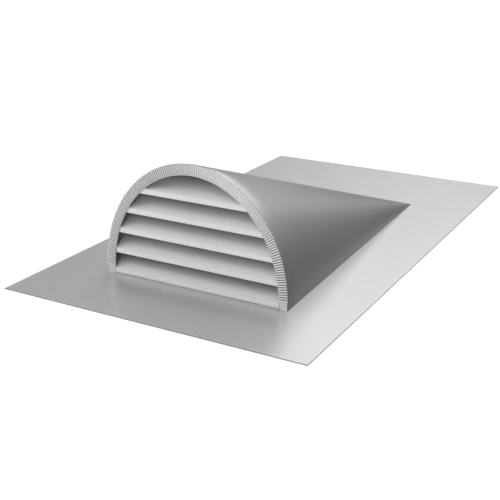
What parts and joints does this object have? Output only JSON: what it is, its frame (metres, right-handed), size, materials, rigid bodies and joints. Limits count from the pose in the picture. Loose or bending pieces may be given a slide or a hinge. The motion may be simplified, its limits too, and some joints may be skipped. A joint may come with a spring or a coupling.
{
  "type": "solar attic fan",
  "caption": "Half-round dormer roof vent on a wide flat flashing, with sloped louvres across its arched face and a direct-current exhaust fan under the tapering hood.",
  "frame": {"origin": "middle of the underside of the flashing, which lies on the roof", "axes": "+Z out of the roof, +Y up the roof from the louvred face towards the back, +X to the right seen from the louvres"},
  "size_m": [0.762, 1.372, 0.2974],
  "materials": {
    "galvanised_sheet": "hot-dip galvanised sheet, fine spangle, satin",
    "galvanised_trim": "galvanised sheet, matt, fine grain",
    "screen_wire": "galvanised welded wire",
    "zinc_plate": "zinc plated flat steel",
    "fastener_steel": "bright steel",
    "aluminium": "mill finish aluminium",
    "motor_paint": "black powder coat",
    "lamination": "varnished laminations",
    "ferrite": "sintered ferrite, matt",
    "box_plastic": "dark grey moulded plastic, light texture",
    "gland_nylon": "black nylon",
    "cable_jacket": "black rubber jacket"
  },
  "bodies": {
    "housing": {"flashing": "galvanised_sheet", "hood_shell": "galvanised_sheet", "venturi_ring": "galvanised_sheet", "crimped_arch_ring": "galvanised_trim", "louvre_frame": "galvanised_trim", "sill_angle": "galvanised_trim", "hood_angle_left": "galvanised_trim", "hood_angle_right": "galvanised_trim", "louvre_blade_1": "galvanised_trim", "louvre_blade_2": "galvanised_trim", "louvre_blade_3": "galvanised_trim", "louvre_blade_4": "galvanised_trim", "louvre_blade_5": "galvanised_trim", "bird_screen": "screen_wire", "motor_strut_1": "zinc_plate", "motor_strut_2": "zinc_plate", "motor_strut_3": "zinc_plate", "motor_strut_4": "zinc_plate", "motor_plate": "zinc_plate", "strut_bolt_1": "fastener_steel", "strut_bolt_2": "fastener_steel", "strut_bolt_3": "fastener_steel", "strut_bolt_4": "fastener_steel", "motor_screw_1": "fastener_steel", "motor_screw_2": "fastener_steel", "motor_screw_3": "fastener_steel", "motor_screw_4": "fastener_steel", "lid_screw_1": "fastener_steel", "lid_screw_2": "fastener_steel", "bearing_lower": "fastener_steel", "bearing_upper": "fastener_steel", "thermal_switch": "fastener_steel", "flange_rivet_1": "aluminium", "flange_rivet_2": "aluminium", "flange_rivet_3": "aluminium", "flange_rivet_4": "aluminium", "motor_can": "motor_paint", "motor_end_cap": "motor_paint", "stator_core": "lamination", "junction_box": "box_plastic", "junction_box_lid": "box_plastic", "motor_lead_gland": "gland_nylon", "panel_lead_gland": "gland_nylon", "lead_clip_1": "gland_nylon", "lead_clip_2": "gland_nylon", "motor_lead": "cable_jacket"},
    "fan": {"motor_shaft": "fastener_steel", "rotor_magnet": "ferrite", "fan_hub": "aluminium", "hub_nut": "fastener_steel", "fan_blade_1": "aluminium", "fan_blade_2": "aluminium", "fan_blade_3": "aluminium", "fan_blade_4": "aluminium", "fan_blade_5": "aluminium"}
  },
  "joints": [
    {"name": "fan_spin", "type": "hinge", "parent": "housing", "child": "fan", "pos_m": [0, -0.245, 0.06], "axis": [0, 0, 1], "continuous": true}
  ]
}
